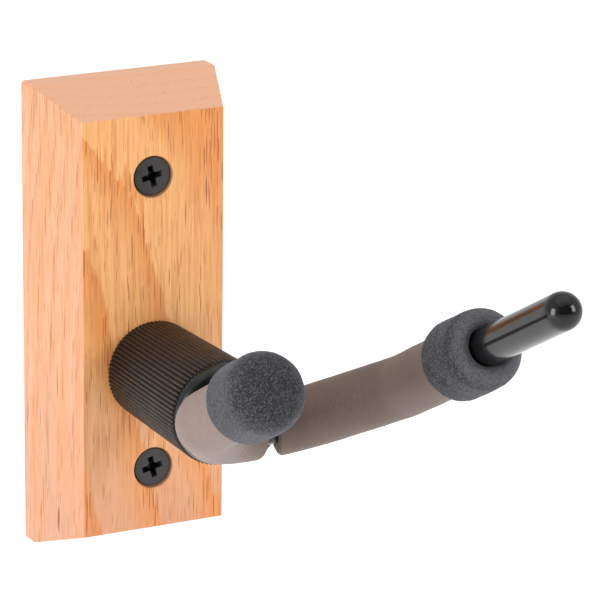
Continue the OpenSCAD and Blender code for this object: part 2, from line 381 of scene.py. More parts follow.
def new_object(name, verts, faces):
    """Mesh object from points in millimetres, with its normals facing outwards."""
    mesh = bpy.data.meshes.new(name)
    mesh.from_pydata([Vector(v) * MM for v in verts], [], faces)
    work = bmesh.new()
    work.from_mesh(mesh)
    bmesh.ops.recalc_face_normals(work, faces=work.faces)
    work.to_mesh(mesh)
    work.free()
    piece = bpy.data.objects.new(name, mesh)
    bpy.context.scene.collection.objects.link(piece)
    return piece


def swept(name, path, profile, around=96, closed=False, shape=None):
    """Sweeps a profile of (distance, radius) points round a path.

    A radius of 0 closes an end in one point, and a closed profile makes a tube with walls.
    shape(distance, radius, angle) may change the radius at each point."""
    verts, rings = [], []
    for s, r in profile:
        place = path(s)
        if r < 1e-6:
            rings.append([len(verts)] * around)
            verts.append(place.translation)
            continue
        rings.append(list(range(len(verts), len(verts) + around)))
        for k in range(around):
            angle = 2 * math.pi * k / around
            radius = shape(s, r, angle) if shape else r
            verts.append(place @ Vector((radius * math.cos(angle), radius * math.sin(angle), 0)))
    pairs = list(zip(rings, rings[1:] + rings[:1] if closed else rings[1:]))
    faces = []
    for a, b in pairs:
        for k in range(around):
            n = (k + 1) % around
            corners = [a[k], a[n], b[n], b[k]]
            face = [v for i, v in enumerate(corners) if v != corners[i - 1]]
            if len(face) > 2:
                faces.append(face)
    return new_object(name, verts, faces)


def smooth(piece, angle=35):
    """Smooth shading with edges sharper than the angle kept sharp."""
    piece.data.shade_smooth()
    piece.data.set_sharp_from_angle(angle=math.radians(angle))
    return piece


def cut(piece, *cutters):
    """Cuts the cutters out of the piece and removes them."""
    for cutter in cutters:
        boolean = piece.modifiers.new("cut", "BOOLEAN")
        boolean.operation = "DIFFERENCE"
        boolean.solver = "EXACT"
        boolean.object = cutter
    shown = piece.evaluated_get(bpy.context.evaluated_depsgraph_get())
    mesh = bpy.data.meshes.new_from_object(shown)
    piece.modifiers.clear()
    piece.data = mesh
    for cutter in cutters:
        bpy.data.objects.remove(cutter)


def finished(piece, body, node, material):
    """Gives a piece its material and its place in the frame."""
    piece.data.materials.clear()
    piece.data.materials.append(material)
    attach(piece, body)
    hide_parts(node)
    return piece


# ---------------------------------------------------------------- materials

class Shader:
    """Builds one material's nodes; an input may be a number, a tuple or another node's output."""

    def __init__(self, name):
        self.material = bpy.data.materials.new(name)
        self.material.use_nodes = True
        self.tree = self.material.node_tree
        self.surface = self.tree.nodes["Principled BSDF"]

    def put(self, socket, value):
        if isinstance(value, bpy.types.NodeSocket):
            self.tree.links.new(value, socket)
        else:
            socket.default_value = value

    def node(self, kind, inputs=None, **settings):
        made = self.tree.nodes.new(kind)
        for key, value in settings.items():
            setattr(made, key, value)
        for key, value in (inputs or {}).items():
            self.put(made.inputs[key], value)
        return made

    def set(self, **values):
        """Sets the surface shader's sockets, named with _ for a space."""
        for key, value in values.items():
            self.put(self.surface.inputs[key.replace("_", " ")], value)

    def place(self):
        """Object coordinates in millimetres."""
        where = self.node("ShaderNodeTexCoord").outputs["Object"]
        return self.scaled(where, (1 / MM, 1 / MM, 1 / MM))

    def facing(self):
        """Direction that the surface faces, in the object's own frame."""
        return self.node("ShaderNodeTexCoord").outputs["Normal"]

    def part(self, vector, axis):
        """One coordinate of a vector."""
        return self.node("ShaderNodeSeparateXYZ", {0: vector}).outputs[axis]

    def vector_math(self, operation, first, second=(0.0, 0.0, 0.0), result="Vector"):
        return self.node("ShaderNodeVectorMath", {0: first, 1: second}, operation=operation).outputs[result]

    def scaled(self, vector, by):
        return self.vector_math("MULTIPLY", vector, by)

    def math(self, operation, first, second=0.0):
        return self.node("ShaderNodeMath", {0: first, 1: second}, operation=operation).outputs["Value"]

    def plus(self, first, second):
        return self.math("ADD", first, second)

    def minus(self, first, second):
        return self.math("SUBTRACT", first, second)

    def times(self, first, second):
        return self.math("MULTIPLY", first, second)

    def ramp(self, value, start, end, to_start=0.0, to_end=1.0):
        """Smooth step of a value, from start to end."""
        limits = {"Value": value, "From Min": start, "From Max": end, "To Min": to_start, "To Max": to_end}
        return self.node("ShaderNodeMapRange", limits, interpolation_type="SMOOTHSTEP").outputs["Result"]

    def noise(self, vector, scale=1.0, detail=2.0, roughness=0.5):
        settings = {"Vector": vector, "Scale": scale, "Detail": detail, "Roughness": roughness}
        return self.node("ShaderNodeTexNoise", settings).outputs["Fac"]

    def cells(self, vector, scale=1.0):
        """(distance to the nearest cell centre, random value of that cell)."""
        made = self.node("ShaderNodeTexVoronoi", {"Vector": vector, "Scale": scale})
        return made.outputs["Distance"], made.outputs["Color"]

    def mix(self, amount, first, second):
        return self.node("ShaderNodeMix", {0: amount, 6: first, 7: second}, data_type="RGBA").outputs[2]

    def bump(self, height, depth_mm, strength):
        inputs = {"Height": height, "Distance": depth_mm * MM, "Strength": strength}
        return self.node("ShaderNodeBump", inputs).outputs["Normal"]

    def uneven(self, pattern, smoothest, roughest):
        """Roughness that follows a noise pattern."""
        return self.ramp(pattern, 0.3, 0.7, smoothest, roughest)


def early_wood(m, place):
    """How early a point's wood grew, from 0 to 1: the rings lean across the front and are thin in depth."""
    x, y, z = (m.part(place, axis) for axis in "XYZ")
    above = m.math("MAXIMUM", m.minus(z, RING_CURVE_FROM))
    lean = m.plus(m.times(z, RING_LEAN), m.times(m.times(above, above), RING_CURVE))
    spacing = m.plus(m.times(above, RING_SPREAD), RING_WIDTH)
    beyond = m.minus(m.minus(x, RING_START), lean)
    band = m.ramp(beyond, 0.0, BAND_WIDTH, 0.0, BAND_END)
    across = m.math("MINIMUM", m.math("DIVIDE", beyond, spacing), band)
    depth = m.math("DIVIDE", m.minus(y, FRONT_Y), RING_DEPTH)
    sway = m.noise(m.scaled(place, SWAY_SCALE), detail=1.0)
    feather = m.noise(m.scaled(place, FEATHER_SCALE), detail=3.0, roughness=0.65)
    ring = m.plus(m.plus(across, depth), m.times(m.minus(sway, 0.5), RING_SWAY))
    ring = m.plus(ring, m.times(m.minus(feather, 0.5), RING_FEATHER))
    in_ring = m.math("FRACT", ring)
    early = m.times(m.ramp(in_ring, 0.38, 0.95), m.ramp(in_ring, 0.96, 1.0, 1.0, 0.0))
    ring_number = m.math("FLOOR", ring)
    chance = m.node("ShaderNodeTexWhiteNoise", {"W": ring_number}, noise_dimensions="1D").outputs["Value"]
    return m.times(early, m.ramp(chance, 0.0, 1.0, 0.75, 1.0))


def pores(m, bent, early):
    """Long vessels, dense and wide in the early wood."""
    distance, chance = m.cells(m.scaled(bent, PORE_SCALE))
    size = m.ramp(early, 0.0, 1.0, 0.24, 0.44)
    inside = m.ramp(m.minus(distance, size), -0.06, 0.02, 1.0, 0.0)
    return m.times(inside, m.ramp(chance, 0.2, 0.8, 0.2, 1.0))


def rays(m, bent):
    """Thin sheets that show as long dark lines on the front."""
    distance, chance = m.cells(m.scaled(bent, RAY_SCALE))
    return m.times(m.ramp(distance, 0.06, 0.15, 1.0, 0.0), m.ramp(chance, 0.3, 0.5))


def paint_hole_shade(m, place, colour):
    """The colour with painted shade that makes the countersunk walls of the screw holes darker."""
    shade_end = FRONT_Y + HOLE_SHADE_DEPTH
    in_sink = m.ramp(m.part(place, "Y"), shade_end, shade_end - HOLE_SHADE_FADE, 0.0, 0.75)
    for which in ("upper", "lower"):
        from_screw = m.vector_math("SUBTRACT", place, (0.0, 0.0, screw_height(which)))
        radius = m.vector_math("LENGTH", m.scaled(from_screw, (1.0, 0.0, 1.0)), result="Value")
        in_hole = m.ramp(radius, SINK_D / 2 + 0.15, SINK_D / 2 - 0.1)
        # Painted shade on the countersunk wall of this hole
        colour = m.mix(m.times(in_hole, in_sink), colour, HOLE_PAINTED_SHADE)
    return colour


def oak_material():
    """Plain-sawn oak: growth rings that lean across the front, pores, rays and a satin finish."""
    m = Shader("oak")
    place = m.place()
    early = early_wood(m, place)
    bend = m.noise(m.scaled(place, BEND_SCALE), detail=1.0)
    slide = m.node("ShaderNodeCombineXYZ", {"X": bend, "Y": bend}).outputs["Vector"]
    bent = m.vector_math("ADD", place, slide)
    pore = pores(m, bent, early)
    ray = rays(m, bent)
    fibre = m.noise(m.scaled(bent, FIBRE_SCALE), detail=4.0, roughness=0.7)
    streak = m.noise(m.scaled(bent, STREAK_SCALE), detail=3.0, roughness=0.6)
    drift = m.noise(m.scaled(place, DRIFT_SCALE), detail=1.0)

    facing = m.facing()
    end_grain = m.ramp(m.math("ABSOLUTE", m.part(facing, "Z")), 0.55, 0.85)
    side_grain = m.ramp(m.math("ABSOLUTE", m.part(facing, "X")), 0.55, 0.85)
    paler = m.math("MAXIMUM", end_grain, m.times(side_grain, 0.45))
    pinkness = m.ramp(m.part(place, "Z"), PINK_FROM, PINK_TO)

    colour = m.mix(drift, LATE_WOOD, LATE_WOOD_WARM)
    colour = m.mix(pinkness, colour, LATE_WOOD_PINK)
    colour = m.mix(early, colour, EARLY_WOOD)
    colour = m.mix(m.times(side_grain, 0.72), colour, SIDE_WOOD)
    colour = m.mix(m.ramp(streak, 0.35, 0.7, 0.0, 0.45), colour, STREAK_WOOD)
    colour = m.mix(m.ramp(fibre, 0.42, 0.68, 0.0, 0.55), colour, FIBRE_WOOD)
    colour = m.mix(m.times(end_grain, 0.88), colour, END_WOOD)
    colour = m.mix(m.times(pore, m.ramp(paler, 0.0, 1.0, 0.8, 0.18)), colour, PORE_BROWN)
    colour = m.mix(m.times(ray, m.ramp(end_grain, 0.0, 1.0, 0.9, 0.2)), colour, RAY_BROWN)
    # Painted shade inside the screw holes
    colour = paint_hole_shade(m, place, colour)

    relief = m.minus(m.times(fibre, 0.25), pore)
    m.set(Base_Color=colour, Roughness=m.ramp(pore, 0.0, 1.0, 0.44, 0.75), Normal=m.bump(relief, 0.05, 0.7),
          Specular_IOR_Level=0.35, Coat_Weight=0.12, Coat_Roughness=0.35)
    return m.material


def black_steel_material():
    """Black phosphate on steel, a little uneven and worn, with painted shade that makes the inside of the
    cross recess nearly black.
    """
    m = Shader("black_steel")
    place = m.place()
    patches = m.noise(place, scale=0.7, detail=4.0, roughness=0.6)
    grain = m.noise(place, scale=9.0, detail=2.0)
    depth = m.minus(m.part(place, "Y"), HEAD_Y)
    # Painted shade: the cross recess is made nearly black by its depth below the head
    recess = m.times(m.ramp(depth, 0.15, 0.7), m.ramp(depth, 3.0, 4.0, 1.0, 0.0))
    colour = m.mix(recess, m.mix(patches, *SCREW_TONES), RECESS_PAINTED_SHADE)
    m.set(Base_Color=colour, Metallic=0.35, Roughness=m.uneven(patches, 0.34, 0.52),
          Normal=m.bump(grain, 0.012, 0.6))
    return m.material


def moulded_material(name, tones, smoothest, roughest):
    """Moulded black plastic with a faint spark-eroded texture."""
    m = Shader(name)
    place = m.place()
    cloud = m.noise(place, scale=0.25, detail=3.0)
    texture = m.noise(place, scale=7.0, detail=2.0)
    m.set(Base_Color=m.mix(cloud, *tones), Roughness=m.uneven(cloud, smoothest, roughest),
          Normal=m.bump(texture, 0.01, 0.5), Specular_IOR_Level=0.4)
    return m.material


def nylon_material():
    """Natural nylon: creamy white and a little waxy."""
    m = Shader("natural_nylon")
    cloud = m.noise(m.place(), scale=0.4, detail=3.0)
    m.set(Base_Color=m.mix(cloud, *NYLON_TONES), Roughness=m.uneven(cloud, 0.35, 0.5), Subsurface_Weight=0.1)
    return m.material


def plated_material(name, tones, smoothest, roughest):
    """Plated or bare steel with fine turning marks and dull patches."""
    m = Shader(name)
    place = m.place()
    patches = m.noise(place, scale=0.8, detail=4.0, roughness=0.6)
    marks = m.noise(m.scaled(place, PLATE_MARK_SCALE), detail=2.0)
    m.set(Base_Color=m.mix(patches, *tones), Metallic=1.0, Roughness=m.uneven(patches, smoothest, roughest),
          Normal=m.bump(marks, 0.01, 0.5))
    return m.material


def stem_material():
    """Black finish on the turned stem and the weld."""
    m = Shader("stem_steel")
    place = m.place()
    patches = m.noise(place, scale=0.6, detail=4.0)
    turning = m.noise(m.scaled(place, STEM_MARK_SCALE), detail=2.0)
    m.set(Base_Color=m.mix(patches, *STEM_TONES), Metallic=0.3, Roughness=m.uneven(patches, 0.3, 0.48),
          Normal=m.bump(turning, 0.01, 0.5))
    return m.material


def insert_material():
    """Blue nylon of the lock nut's ring."""
    m = Shader("insert_nylon")
    cloud = m.noise(m.place(), scale=0.8, detail=3.0)
    m.set(Base_Color=m.mix(cloud, *INSERT_TONES), Roughness=m.uneven(cloud, 0.28, 0.42))
    return m.material


def coating_material():
    """Thick glossy black coating on the rod, with a faint dipped unevenness."""
    m = Shader("rod_coating")
    place = m.place()
    flow = m.noise(place, scale=0.12, detail=1.0)
    haze = m.noise(place, scale=0.9, detail=4.0)
    m.set(Base_Color=m.mix(haze, *COATING_TONES), Roughness=m.uneven(haze, 0.12, 0.20),
          Normal=m.bump(flow, 0.15, 0.5), Specular_IOR_Level=0.25, Coat_Weight=0.18, Coat_Roughness=0.05)
    return m.material


def rubber_material():
    """Matt taupe rubber tube with soft mottling, and painted light that makes the left arm paler than the
    right one.
    """
    m = Shader("sleeve_rubber")
    place = m.place()
    mottle = m.noise(place, scale=0.10, detail=3.0)
    bloom = m.noise(place, scale=0.9, detail=4.0, roughness=0.6)
    skin = m.noise(place, scale=5.0, detail=3.0)
    # Painted light: the left arm is made paler, and the right arm looks as if it lies in the cap's shade
    left_arm_painted_light = m.ramp(m.part(place, "X"), 8.0, -10.0)
    colour = m.mix(mottle, *RUBBER_TONES)
    colour = m.mix(m.times(left_arm_painted_light, 0.7), colour, RUBBER_PAINTED_LIGHT)
    colour = m.mix(m.ramp(bloom, 0.35, 0.75, 0.0, 0.3), colour, RUBBER_BLOOM)
    m.set(Base_Color=colour, Roughness=m.uneven(bloom, 0.55, 0.72), Normal=m.bump(skin, 0.02, 0.5),
          Specular_IOR_Level=0.3, Sheen_Weight=0.07, Sheen_Roughness=0.5)
    return m.material


def foam_ground(m, place, cloud):
    """Foam colour without its grain: painted light makes the barrel's cut front palest, and painted shade
    makes the barrel's side darkest and the cap's front darker.
    """
    rise = math.radians(YOKE_RISE)
    along_arm = (0.0, -math.cos(rise), math.sin(rise))
    front = m.ramp(m.vector_math("DOT_PRODUCT", m.facing(), along_arm, "Value"), 0.15, 0.85)
    on_barrel = m.ramp(m.part(place, "X"), 0.0, 10.0)
    barrel_front = m.times(on_barrel, front)
    barrel_side = m.minus(on_barrel, barrel_front)
    cap_front = m.minus(front, barrel_front)
    # Painted shade on the barrel's side, and at half strength on the cap's front
    darker = m.plus(barrel_side, m.times(cap_front, 0.5))
    base = m.mix(darker, m.mix(cloud, *FOAM_TONES), FOAM_PAINTED_SHADE)
    # Painted light on the barrel's cut front
    return m.mix(m.times(barrel_front, 0.9), base, FOAM_PAINTED_LIGHT)


def foam_material():
    """Dark grey closed-cell foam: a dense grain of light and dark cells, with a soft sheen at its edges."""
    m = Shader("foam")
    place = m.place()
    cell_distance, cell_chance = m.cells(place, scale=3.1)
    fine_distance, fine_chance = m.cells(place, scale=5.6)
    cloud = m.noise(place, scale=0.25, detail=3.0)
    colour = foam_ground(m, place, cloud)
    colour = m.mix(m.ramp(cell_chance, 0.45, 1.0, 0.0, 0.6), colour, FOAM_LIGHT_CELL)
    colour = m.mix(m.ramp(cell_chance, 0.5, 0.0, 0.0, 0.55), colour, FOAM_DARK_CELL)
    colour = m.mix(m.ramp(fine_chance, 0.5, 1.0, 0.0, 0.5), colour, FOAM_LIGHT_SPECK)
    colour = m.mix(m.ramp(fine_chance, 0.45, 0.0, 0.0, 0.5), colour, FOAM_DARK_SPECK)
    pits = m.plus(cell_distance, m.times(fine_distance, 0.6))
    m.set(Base_Color=colour, Roughness=m.uneven(cloud, 0.82, 0.95), Normal=m.bump(pits, 0.12, 0.8),
          Specular_IOR_Level=0.2, Sheen_Weight=0.22, Sheen_Roughness=0.45, Sheen_Tint=FOAM_SHEEN)
    return m.material


def make_materials():
    """One material for each material slot."""
    return {
        "oak": oak_material(),
        "black_steel": black_steel_material(),
        "collar_plastic": moulded_material("collar_plastic", COLLAR_TONES, 0.36, 0.5),
        "nose_plastic": moulded_material("nose_plastic", NOSE_TONES, 0.20, 0.30),
        "natural_nylon": nylon_material(),
        "zinc_steel": plated_material("zinc_steel", ZINC_TONES, 0.22, 0.4),
        "spring_steel": plated_material("spring_steel", SPRING_TONES, 0.3, 0.5),
        "stem_steel": stem_material(),
        "insert_nylon": insert_material(),
        "rod_coating": coating_material(),
        "sleeve_rubber": rubber_material(),
        "foam": foam_material(),
    }


# ---------------------------------------------------------------- pieces of the wall unit

def corner_points(width, height, radius, steps=6):
    """(x, z) outline of a rectangle with round corners."""
    points = []
    for turn, (side_x, side_z) in enumerate([(1, 1), (-1, 1), (-1, -1), (1, -1)]):
        cx = side_x * (width / 2 - radius)
        cz = side_z * (height / 2 - radius)
        for k in range(steps + 1):
            angle = math.radians(90 * (turn + k / steps))
            points.append((cx + radius * math.cos(angle), cz + radius * math.sin(angle)))
    return points


def cut_bevels(work, size):
    """Cuts four bevels, which slope from the front down to a strip next to the wall."""
    run = -FRONT_Y - BLOCK_STRIP
    for side in (Vector((1, 0, 0)), Vector((-1, 0, 0)), Vector((0, 0, 1)), Vector((0, 0, -1))):
        half = size.x / 2 if side.x else size.z / 2
        on_plane = (side * half + Vector((0, -BLOCK_STRIP, 0))) * MM
        facing = (side * run + Vector((0, -BLOCK_BEVEL, 0))).normalized()
        everything = work.verts[:] + work.edges[:] + work.faces[:]
        made = bmesh.ops.bisect_plane(work, geom=everything, plane_co=on_plane, plane_no=facing,
                                      clear_outer=True)
        rim = [e for e in made["geom_cut"] if isinstance(e, bmesh.types.BMEdge)]
        bmesh.ops.contextual_create(work, geom=rim)
    bmesh.ops.dissolve_degenerate(work, dist=1e-6, edges=work.edges)


def ease_edges(work):
    """Rounds the block's sharp edges, apart from those against the wall."""
    least_angle = math.radians(16)
    off_wall = [e for e in work.edges if min(v.co.y for v in e.verts) < -BLOCK_ARRIS * MM]
    sharp = [e for e in off_wall if len(e.link_faces) == 2 and e.calc_face_angle() > least_angle]
    bmesh.ops.bevel(work, geom=sharp, offset=BLOCK_ARRIS * MM, segments=3, profile=0.5, affect="EDGES",
                    clamp_overlap=True)


def block_cutters():
    """Cutters for the block's screw holes, the stem's bore and the recess in its back."""
    bore_r, recess_r, rim = STEM_BORE / 2, RECESS_D / 2, 0.3
    bore = [(FRONT_Y - PAST, 0), (FRONT_Y - PAST, bore_r), (PAST, bore_r), (PAST, 0)]
    recess = [(RECESS_FLOOR, 0), (RECESS_FLOOR, recess_r), (-rim, recess_r), (PAST, recess_r + rim + PAST),
              (PAST, 0)]
    return [
        screw_hole("upper"),
        screw_hole("lower"),
        swept("bore", STEM_PATH, bore),
        swept("recess", STEM_PATH, recess),
    ]


def oak_block():
    """Bevelled block with eased edges, two countersunk screw holes and the stem's bore."""
    size = high("backplate") - low("backplate")
    outline = corner_points(size.x, size.z, BLOCK_CORNER)
    count = len(outline)
    verts = [(x, y, z) for y in (0, FRONT_Y) for x, z in outline]
    faces = [list(range(count)), list(range(count, 2 * count))]
    faces += [[k, (k + 1) % count, count + (k + 1) % count, count + k] for k in range(count)]
    block = new_object("oak_block", verts, faces)
    work = bmesh.new()
    work.from_mesh(block.data)
    cut_bevels(work, size)
    ease_edges(work)
    bmesh.ops.recalc_face_normals(work, faces=work.faces)
    work.to_mesh(block.data)
    work.free()
    cut(block, *block_cutters())
    smooth(block, 30)
    weighted = block.modifiers.new("flat_faces", "WEIGHTED_NORMAL")
    weighted.keep_sharp = True
    return block


def screw_height(which):
    """Height of one wall screw's axis."""
    node = which + "_wall_screw"
    return (low(node).z + high(node).z) / 2


def screw_hole(which):
    """Cutter for one countersunk screw hole, with a slightly broken rim."""
    cone = (SINK_D - SCREW_BORE) / 2 / math.tan(math.radians(HEAD_HALF_ANGLE))
    profile = [
        (FRONT_Y - PAST, 0),
        (FRONT_Y - PAST, SINK_D / 2 + SINK_RIM + PAST),
        (FRONT_Y, SINK_D / 2 + SINK_RIM),
        (FRONT_Y + SINK_RIM, SINK_D / 2),
        (HEAD_Y, SINK_D / 2),
        (HEAD_Y + cone, SCREW_BORE / 2),
        (PAST, SCREW_BORE / 2),
        (PAST, 0),
    ]
    return swept(which + "_hole", wall_axis(screw_height(which)), profile, around=72)


def cross_cutters(height):
    """Cutters for a cross recess: two tapered wings and a pointed middle."""
    past, grown = 0.4, 1.05
    top, floor = HEAD_Y - past, HEAD_Y + CROSS_DEPTH
    faces = [[0, 1, 2, 3], [4, 5, 6, 7]] + [[k, (k + 1) % 4, 4 + (k + 1) % 4, 4 + k] for k in range(4)]
    cutters = []
    for turn in (0, 90):
        angle = math.radians(turn + CROSS_TURN)
        c, d = math.cos(angle), math.sin(angle)
        verts = []
        for (length, width), y, scale in ((CROSS_TOP, top, grown), (CROSS_FLOOR, floor, 1.0)):
            for side_x, side_z in ((-1, -1), (1, -1), (1, 1), (-1, 1)):
                u, v = side_x * length * scale / 2, side_z * width * scale / 2
                verts.append((u * c - v * d, y, height + u * d + v * c))
        cutters.append(new_object("wing", verts, faces))
    middle = [(top, 0), (top, 1.45), (floor, 0.7), (floor + 0.5, 0)]
    cutters.append(swept("middle", wall_axis(height), middle, around=16))
    return cutters


def wall_screw(which):
    """Flat-head wood screw with a cross recess, a smooth shank and a cut thread."""
    height = screw_height(which)
    end = high(which + "_wall_screw").y
    cone = (HEAD_D - SHANK_D) / 2 / math.tan(math.radians(HEAD_HALF_ANGLE))
    rim, rows_per_turn = 0.25, 14
    head = rounded([(HEAD_Y, 0, 0), (HEAD_Y, HEAD_D / 2 - 0.05, 0.2), (HEAD_Y + rim, HEAD_D / 2, 0.1),
                    (HEAD_Y + cone, SHANK_D / 2, 0.8), (-0.6, SHANK_D / 2, 0.2), (-0.2, THREAD_ROOT / 2, 0)],
                   steps=4)
    rows = int((end - 0.2) / SCREW_PITCH * rows_per_turn)
    thread = [(end * k / rows, THREAD_ROOT / 2) for k in range(1, rows)]

    def thread_shape(s, r, angle):
        if s <= 0:
            return r
        taper = min(1.0, max(0.04, (end - s) / SCREW_POINT))
        phase = (s / SCREW_PITCH - angle / (2 * math.pi)) % 1.0
        crest = max(0.0, 1 - abs(phase - 0.5) / 0.22)
        grown = min(1.0, s / 1.5)
        return (THREAD_ROOT / 2 + crest * grown * (THREAD_D - THREAD_ROOT) / 2) * taper

    profile = head + thread + [(end, 0)]
    screw = swept(which + "_screw", wall_axis(height), profile, around=48, shape=thread_shape)
    cut(screw, *cross_cutters(height))
    return smooth(screw, 32)


def ribbed_collar():
    """Collar with straight ribs that end in small teeth at the front."""
    front, back = low("collar").y, high("collar").y
    chamfer, points_per_rib = 0.08, 8
    bore, face = STEM_BORE / 2, COLLAR_BASE_R - 3 * RIB_DEPTH

    def radius_at(s):
        return COLLAR_FRONT_R + (COLLAR_BASE_R - COLLAR_FRONT_R) * (s - front) / (back - front)

    def rib_shape(s, r, angle):
        if r < COLLAR_BASE_R - 2 * RIB_DEPTH:
            return r
        phase = (angle * RIBS / (2 * math.pi)) % 1.0
        ridge = max(0.0, math.cos(math.pi * (phase - 0.5))) ** 0.6
        flare = max(0.0, 1 - (s - front) / TOOTH_LENGTH)
        return r - RIB_DEPTH * (1 + TOOTH_FLARE * flare) * (1 - ridge)

    along = [front + chamfer, front + TOOTH_LENGTH] + [front + (back - front) * k / 4 for k in range(1, 5)]
    profile = [(front, bore), (front, face), (front, radius_at(front) - chamfer)]
    profile += [(s, radius_at(s)) for s in along] + [(back, bore)]
    around = RIBS * points_per_rib
    return smooth(swept("ribbed_collar", STEM_PATH, profile, around, closed=True, shape=rib_shape), 50)


def nose():
    """Smooth rounded nose with a shallow turned groove in its face."""
    front, back = low("nose_bushing").y, high("nose_bushing").y
    bore, shank = STEM_D / 2 + RUNNING_FIT, STEM_BORE / 2 - FIT
    groove, step = front + GROOVE_DEPTH, front + NOSE_T - FIT
    profile = rounded([(back, bore, 0), (front, bore, 0.3), (front, GROOVE_R - 0.4, 0.2),
                       (groove, GROOVE_R - 0.2, 0.2), (groove, GROOVE_R + 0.2, 0.2),
                       (front, GROOVE_R + 0.4, 0.2), (front, NOSE_R, NOSE_EDGE), (step, NOSE_R, 0),
                       (step, shank, 0), (back, shank, 0.4), (back, bore, 0)], steps=8)
    return smooth(swept("nose", STEM_PATH, profile[:-1], around=128, closed=True), 40)


def rear_bearing():
    """Plain bearing through the block."""
    front, back = low("rear_bushing").y, high("rear_bushing").y
    bore, outer, edge = STEM_D / 2 + RUNNING_FIT, STEM_BORE / 2 - FIT, 0.5
    profile = rounded([(front, bore, 0), (front, outer, edge), (back, outer, edge), (back, bore, 0)])
    return smooth(swept("rear_bearing", STEM_PATH, profile, around=80, closed=True))


# ---------------------------------------------------------------- pieces of the pivot

def ring_piece(name, node, edge):
    """Washer with eased edges in the place of a CAD node."""
    front, back = low(node).y, high(node).y
    outer, bore = high(node).x, STEM_D / 2 + FIT
    profile = rounded([(front, bore, 0), (front, outer, edge), (back, outer, edge), (back, bore, 0)], steps=4)
    return smooth(swept(name, STEM_PATH, profile, around=80, closed=True), 50)


def coned_washer():
    """Spring washer, coned so that its rim bears on the flat washer."""
    front, back = low("spring_washer").y, high("spring_washer").y
    outer, inner, edge = high("spring_washer").x, STEM_D / 2 + FIT, 0.2
    profile = [(back - CONED_T, inner), (front, outer - edge), (front + edge / 2, outer),
               (front + CONED_T - edge, outer), (front + CONED_T, outer - edge), (back, inner)]
    return smooth(swept("coned_washer", STEM_PATH, profile, around=80, closed=True), 40)


def lock_nut_piece():
    """Hexagon nut with chamfered corners and a rolled rim round its nylon ring."""
    front, back = low("lock_nut").y, high("lock_nut").y
    flat_r, bore = NUT_ACROSS / 2, STEM_D / 2 + FIT
    corner_r = flat_r / math.cos(math.radians(30))
    chamfer = corner_r - flat_r
    hex_back = front + NUT_HEX_T
    ring_y, ring_r = back - NUT_RIM_WALL, NUT_RIM_R - NUT_RIM_WALL
    edge, steps = 0.4, 5

    def hex_shape(s, r, angle):
        if r < flat_r:
            return r
        turned = (angle + math.pi / 6) % (math.pi / 3) - math.pi / 6
        cone = flat_r + 0.05 + min(s - front, hex_back - s) * math.tan(math.radians(60))
        return min(flat_r / math.cos(turned), cone)

    rows = [front + chamfer * k / steps for k in range(steps + 1)]
    rows += [hex_back - chamfer * (steps - k) / steps for k in range(steps + 1)]
    profile = [(front, bore + edge), (front, flat_r - 0.1)] + [(s, corner_r) for s in rows]
    profile += rounded([(hex_back, NUT_RIM_R + 0.1, 0), (hex_back, NUT_RIM_R, 0.1), (back, NUT_RIM_R, 0.5),
                        (back, ring_r, 0.1), (ring_y, ring_r, 0), (ring_y, ring_r - FIT, 0)], steps)
    profile += [(hex_back, ring_r - FIT), (hex_back, bore), (front + edge, bore)]
    return smooth(swept("hex_lock_nut", STEM_PATH, profile, around=120, closed=True, shape=hex_shape), 28)


def threaded_stem():
    """Turned stem with its thrust shoulder, and a cut thread at the nut's end."""
    in_rod, end = -YOKE_REACH + 2.0, high("pivot_stem").y
    shoulder_back = low("thrust_washer").y - FIT
    shoulder_front = shoulder_back - SHOULDER_T
    radius, root = STEM_D / 2, STEM_D / 2 - STEM_THREAD_DEPTH
    thread_from = low("rear_washer").y + 1.0
    thread_length = end - 0.8 - thread_from
    rows_per_turn = 8
    rows = int(thread_length / STEM_PITCH * rows_per_turn)
    thread = [(thread_from + thread_length * k / rows, radius) for k in range(rows + 1)]
    profile = rounded([(in_rod, 0, 0), (in_rod, radius, 0), (shoulder_front, radius, 0.5),
                       (shoulder_front, SHOULDER_R, 0.4), (shoulder_back, SHOULDER_R, 0.4),
                       (shoulder_back, radius, 0), (thread_from - 0.5, radius, 0)], steps=5)
    profile += thread + [(end, root - 0.1), (end, 0)]

    def thread_shape(s, r, angle):
        if s < thread_from or r < root:
            return r
        phase = (s / STEM_PITCH - angle / (2 * math.pi)) % 1.0
        crest = min(1.0, 2.4 * abs(phase - 0.5))
        return min(r, root + (radius - root) * crest)

    return smooth(swept("threaded_stem", STEM_PATH, profile, around=72, shape=thread_shape), 40)


def weld_bead():
    """Rippled bead where the stem meets the rod."""
    stem_r = STEM_D / 2
    inner = stem_r + FIT
    start, end = -YOKE_REACH + 1.2, high("stem_weld").y

    def ripple(s, r, angle):
        if r <= inner:
            return r
        return r + 0.10 * math.sin(14 * angle + 1.5 * s) + 0.06 * math.sin(5 * angle)

    profile = [(start, inner), (start, stem_r + WELD_R - 0.1), (end - 2.2, stem_r + WELD_R - 0.2),
               (end - 1.1, stem_r + WELD_R * 0.78), (end - 0.4, stem_r + WELD_R * 0.35), (end, inner + 0.1),
               (end, inner)]
    return smooth(swept("weld_bead", STEM_PATH, profile, around=112, closed=True, shape=ripple), 60)


# ---------------------------------------------------------------- pieces of the yoke

def coated_rod():
    """Bent rod with half-round ends under its thick coating."""
    radius = ROD_D / 2
    left = quarter((LEFT_TIP + radius, 0), (-radius, 0), (0, radius))
    right = quarter((RIGHT_TIP - radius, 0), (0, radius), (radius, 0))
    return smooth(swept("coated_rod", rod_path, spread(left + right, 1.2)), 60)


